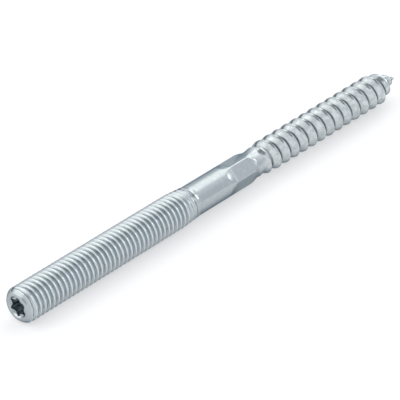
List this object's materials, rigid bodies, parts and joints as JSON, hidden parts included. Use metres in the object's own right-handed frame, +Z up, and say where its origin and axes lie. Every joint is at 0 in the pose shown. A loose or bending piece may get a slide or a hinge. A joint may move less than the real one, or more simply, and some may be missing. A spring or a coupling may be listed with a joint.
{
  "type": "hanger bolt",
  "caption": "Hanger bolt: a stud with a machine thread and lobed drive recess at one end, a pressed hexagon beside the plain shank, and a coarse wood thread with a gimlet point.",
  "frame": {"origin": "middle of the underside of the bolt's box, as it lies on its machine thread", "axes": "+X along the bolt from the drive recess to the point, +Z up"},
  "size_m": [0.12, 0.008, 0.008],
  "materials": {
    "zinc_plated_steel": "blue-white zinc plating, semi-bright on the machine thread and shank, duller and slightly mottled on the wood thread"
  },
  "bodies": {
    "root": {"hanger_bolt": "zinc_plated_steel"}
  },
  "joints": []
}
